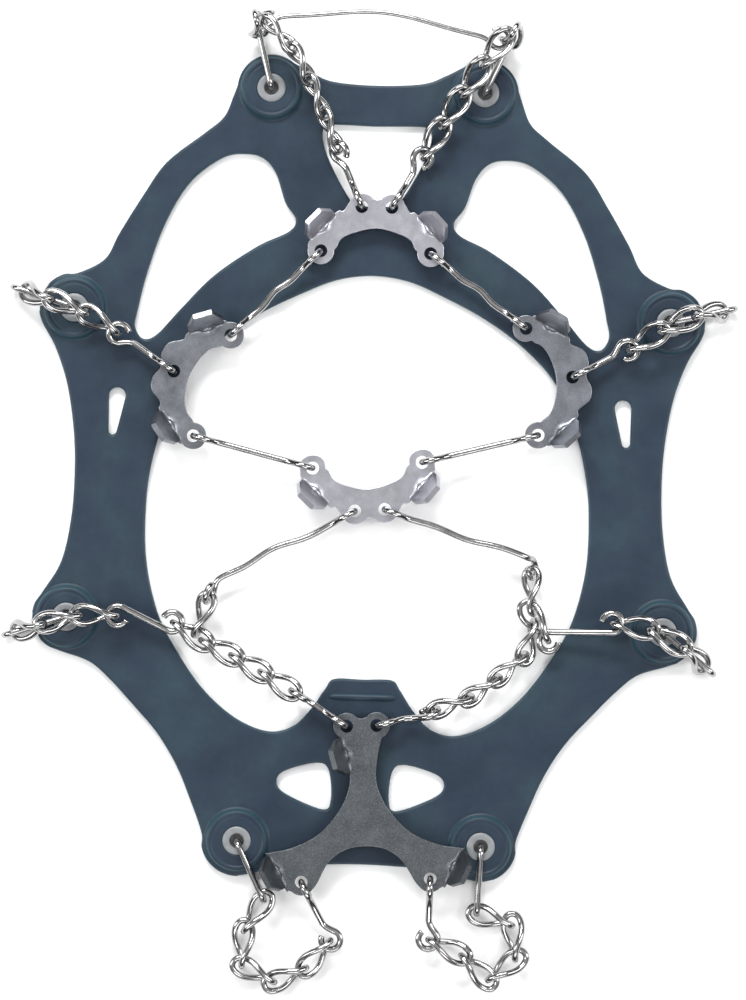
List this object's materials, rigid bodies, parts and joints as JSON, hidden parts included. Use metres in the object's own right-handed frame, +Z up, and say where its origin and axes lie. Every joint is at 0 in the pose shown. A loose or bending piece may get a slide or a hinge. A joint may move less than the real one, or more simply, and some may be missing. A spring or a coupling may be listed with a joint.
{
  "type": "shoe ice cleats",
  "caption": "Stretchy harness with chains, bent wires and toothed steel plates that straps under a boot sole for grip on ice and snow.",
  "frame": {"origin": "on the floor under the middle of the whole part, laid out flat", "axes": "+Y towards the toe, +X towards the right of the sheet as laid out, +Z up, where the teeth point"},
  "size_m": [0.2627, 0.3552, 0.0217],
  "materials": {
    "elastomer": "satin, slightly translucent blue-grey elastomer",
    "grommet": "matte light grey rivet",
    "plate_bright": "bright satin steel",
    "plate_side": "satin steel",
    "plate_dark": "dark speckled steel",
    "wire_steel": "polished steel wire"
  },
  "bodies": {
    "harness": {"harness": "elastomer", "front_left_grommet": "grommet", "front_right_grommet": "grommet", "upper_left_grommet": "grommet", "upper_right_grommet": "grommet", "lower_left_grommet": "grommet", "lower_right_grommet": "grommet", "heel_left_grommet": "grommet", "heel_right_grommet": "grommet"},
    "front_left_eyelet": {"front_left_eyelet_link": "wire_steel"},
    "front_right_eyelet": {"front_right_eyelet_link": "wire_steel"},
    "upper_left_eyelet": {"upper_left_eyelet_link": "wire_steel"},
    "upper_right_eyelet": {"upper_right_eyelet_link": "wire_steel"},
    "lower_left_eyelet": {"lower_left_eyelet_link": "wire_steel"},
    "lower_right_eyelet": {"lower_right_eyelet_link": "wire_steel"},
    "heel_left_eyelet": {"heel_left_eyelet_link": "wire_steel"},
    "heel_right_eyelet": {"heel_right_eyelet_link": "wire_steel"},
    "front_plate": {"front_plate": "plate_bright"},
    "left_plate": {"left_plate": "plate_side"},
    "right_plate": {"right_plate": "plate_side"},
    "mid_plate": {"mid_plate": "plate_bright"},
    "heel_plate": {"heel_plate": "plate_dark"},
    "toe_bar": {"toe_bar": "wire_steel"},
    "front_left_run": {"front_left_chain": "wire_steel", "front_left_hook": "wire_steel"},
    "front_right_run": {"front_right_chain": "wire_steel", "front_right_hook": "wire_steel"},
    "upper_left_run": {"upper_left_chain": "wire_steel", "upper_left_hook": "wire_steel"},
    "upper_right_run": {"upper_right_chain": "wire_steel", "upper_right_hook": "wire_steel"},
    "heel_left_loop": {"heel_left_loop_chain": "wire_steel", "heel_left_hook": "wire_steel"},
    "heel_right_loop": {"heel_right_loop_chain": "wire_steel", "heel_right_hook": "wire_steel"},
    "lower_left_run": {"lower_left_chain": "wire_steel", "lower_left_hook": "wire_steel"},
    "left_junction": {"left_junction_link": "wire_steel"},
    "left_brace": {"left_brace_link": "wire_steel", "left_brace_wire": "wire_steel"},
    "stem_left_run": {"stem_left_chain": "wire_steel", "stem_left_hook": "wire_steel"},
    "lower_right_run": {"lower_right_chain": "wire_steel", "lower_right_hook": "wire_steel"},
    "right_junction": {"right_junction_link": "wire_steel"},
    "right_brace": {"right_brace_link": "wire_steel", "right_brace_wire": "wire_steel"},
    "stem_right_run": {"stem_right_chain": "wire_steel", "stem_right_hook": "wire_steel"},
    "left_toe_wire": {"left_toe_wire": "wire_steel"},
    "right_toe_wire": {"right_toe_wire": "wire_steel"},
    "left_arch_wire": {"left_arch_wire": "wire_steel"},
    "right_arch_wire": {"right_arch_wire": "wire_steel"}
  },
  "joints": [
    {"name": "front_left_eyelet_roll", "type": "hinge", "parent": "harness", "child": "front_left_eyelet", "pos_m": [-0.0389, 0.1488, 0.0042], "axis": [-0.2419, 0.9703, 0], "range_deg": [-5, 5]},
    {"name": "front_right_eyelet_roll", "type": "hinge", "parent": "harness", "child": "front_right_eyelet", "pos_m": [0.0381, 0.1488, 0.0042], "axis": [0.4067, 0.9135, 0], "range_deg": [-5, 5]},
    {"name": "upper_left_eyelet_roll", "type": "hinge", "parent": "harness", "child": "upper_left_eyelet", "pos_m": [-0.1079, 0.0678, 0.0042], "axis": [-0.9563, 0.2924, 0], "range_deg": [-5, 5]},
    {"name": "upper_right_eyelet_roll", "type": "hinge", "parent": "harness", "child": "upper_right_eyelet", "pos_m": [0.1071, 0.0678, 0.0042], "axis": [0.9703, 0.2419, 0], "range_deg": [-5, 5]},
    {"name": "lower_left_eyelet_roll", "type": "hinge", "parent": "harness", "child": "lower_left_eyelet", "pos_m": [-0.1079, -0.0437, 0.0042], "axis": [-0.9511, -0.309, 0], "range_deg": [-5, 5]},
    {"name": "lower_right_eyelet_roll", "type": "hinge", "parent": "harness", "child": "lower_right_eyelet", "pos_m": [0.1071, -0.0437, 0.0042], "axis": [0.788, -0.6157, 0], "range_deg": [-5, 5]},
    {"name": "heel_left_eyelet_roll", "type": "hinge", "parent": "harness", "child": "heel_left_eyelet", "pos_m": [-0.0444, -0.1227, 0.0042], "axis": [0.4384, -0.8988, 0], "range_deg": [-5, 5]},
    {"name": "heel_right_eyelet_roll", "type": "hinge", "parent": "harness", "child": "heel_right_eyelet", "pos_m": [0.0436, -0.1227, 0.0042], "axis": [-0.0349, -0.9994, 0], "range_deg": [-2, 4]},
    {"name": "front_plate_rock", "type": "hinge", "parent": "harness", "child": "front_plate", "pos_m": [-0.0195, 0.0903, 0.008], "axis": [1, 0, 0], "range_deg": [-2, 2]},
    {"name": "left_plate_rock", "type": "hinge", "parent": "harness", "child": "left_plate", "pos_m": [-0.06368, 0.02265, 0.008], "axis": [0.3256, 0.9455, 0], "range_deg": [-1, 0.6]},
    {"name": "right_plate_rock", "type": "hinge", "parent": "harness", "child": "right_plate", "pos_m": [0.05491, 0.06431, 0.008], "axis": [0.1392, -0.9903, 0], "range_deg": [-0.6, 0]},
    {"name": "mid_plate_rock", "type": "hinge", "parent": "harness", "child": "mid_plate", "pos_m": [0.01884, 0.01525, 0.008], "axis": [-0.9969, -0.0785, 0], "range_deg": [-2, 2]},
    {"name": "heel_plate_rock", "type": "hinge", "parent": "harness", "child": "heel_plate", "pos_m": [-0.02067, -0.13671, 0.008], "axis": [0.9986, 0.0523, 0], "range_deg": [-0.5, 0.5]},
    {"name": "toe_bar_swing", "type": "hinge", "parent": "harness", "child": "toe_bar", "pos_m": [-0.04124, 0.17263, 0.00988], "axis": [0.9985, -0.0545, 0.0023], "range_deg": [-8, 8]},
    {"name": "front_left_run_roll", "type": "hinge", "parent": "harness", "child": "front_left_run", "pos_m": [-0.04359, 0.16762, 0.0042], "axis": [0.5312, -0.8456, 0.0526], "range_deg": [-3, 3]},
    {"name": "front_right_run_roll", "type": "hinge", "parent": "harness", "child": "front_right_run", "pos_m": [0.04588, 0.16657, 0.0042], "axis": [-0.5562, -0.8294, 0.0525], "range_deg": [-3, 3]},
    {"name": "upper_left_run_roll", "type": "hinge", "parent": "harness", "child": "upper_left_run", "pos_m": [-0.12693, 0.07362, 0.0042], "axis": [0.8921, -0.4477, 0.0608], "range_deg": [-2, 2]},
    {"name": "upper_right_run_roll", "type": "hinge", "parent": "harness", "child": "upper_right_run", "pos_m": [0.12689, 0.07273, 0.0042], "axis": [-0.9049, -0.4209, 0.0627], "range_deg": [-3, 1]},
    {"name": "heel_left_loop_lift", "type": "hinge", "parent": "harness", "child": "heel_left_loop", "pos_m": [-0.03216, -0.14121, 0.0042], "axis": [0.8902, 0.3479, 0.2942], "range_deg": [-2, 3]},
    {"name": "heel_right_loop_lift", "type": "hinge", "parent": "harness", "child": "heel_right_loop", "pos_m": [0.03987, -0.14606, 0.0042], "axis": [-0.7541, 0.625, 0.2017], "range_deg": [-1.5, 3]},
    {"name": "lower_left_run_roll", "type": "hinge", "parent": "harness", "child": "lower_left_run", "pos_m": [-0.12683, -0.04985, 0.0042], "axis": [0.9934, 0.0943, 0.0657], "range_deg": [-3, 3]},
    {"name": "left_junction_roll", "type": "hinge", "parent": "harness", "child": "left_junction", "pos_m": [-0.06931, -0.04445, 0.008], "axis": [0.8572, -0.515, 0], "range_deg": [-4, 4]},
    {"name": "left_brace_roll", "type": "hinge", "parent": "harness", "child": "left_brace", "pos_m": [-0.06129, -0.04927, 0.00519], "axis": [0.7716, 0.635, 0.0385], "range_deg": [-3, 3]},
    {"name": "stem_left_run_roll", "type": "hinge", "parent": "harness", "child": "stem_left_run", "pos_m": [-0.05903, -0.05063, 0.008], "axis": [0.8738, -0.4864, 0], "range_deg": [-4, 4]},
    {"name": "lower_right_run_roll", "type": "hinge", "parent": "harness", "child": "lower_right_run", "pos_m": [0.12318, -0.05626, 0.0042], "axis": [-0.9876, 0.1427, 0.0656], "range_deg": [-3, 3]},
    {"name": "right_junction_roll", "type": "hinge", "parent": "harness", "child": "right_junction", "pos_m": [0.06594, -0.04792, 0.008], "axis": [-0.5736, 0.8192, 0], "range_deg": [-4, 4]},
    {"name": "right_brace_roll", "type": "hinge", "parent": "harness", "child": "right_brace", "pos_m": [0.05987, -0.03814, 0.00828], "axis": [-0.8314, 0.5557, -0.0043], "range_deg": [-3, 3]},
    {"name": "stem_right_run_roll", "type": "hinge", "parent": "harness", "child": "stem_right_run", "pos_m": [0.06108, -0.04037, 0.00478], "axis": [-0.818, -0.5733, 0.047], "range_deg": [-4, 4]},
    {"name": "left_toe_wire_roll", "type": "hinge", "parent": "harness", "child": "left_toe_wire", "pos_m": [-0.0195, 0.0903, 0.008], "axis": [-0.7123, -0.7018, 0], "range_deg": [-8, 8]},
    {"name": "right_toe_wire_roll", "type": "hinge", "parent": "harness", "child": "right_toe_wire", "pos_m": [0.0199, 0.0903, 0.008], "axis": [0.803, -0.596, 0], "range_deg": [-8, 8]},
    {"name": "left_arch_wire_roll", "type": "hinge", "parent": "harness", "child": "left_arch_wire", "pos_m": [-0.02044, 0.01215, 0.008], "axis": [-0.9718, 0.2359, 0], "range_deg": [-8, 8]},
    {"name": "right_arch_wire_roll", "type": "hinge", "parent": "harness", "child": "right_arch_wire", "pos_m": [0.01884, 0.01525, 0.008], "axis": [0.9674, 0.2531, 0], "range_deg": [-8, 8]}
  ]
}
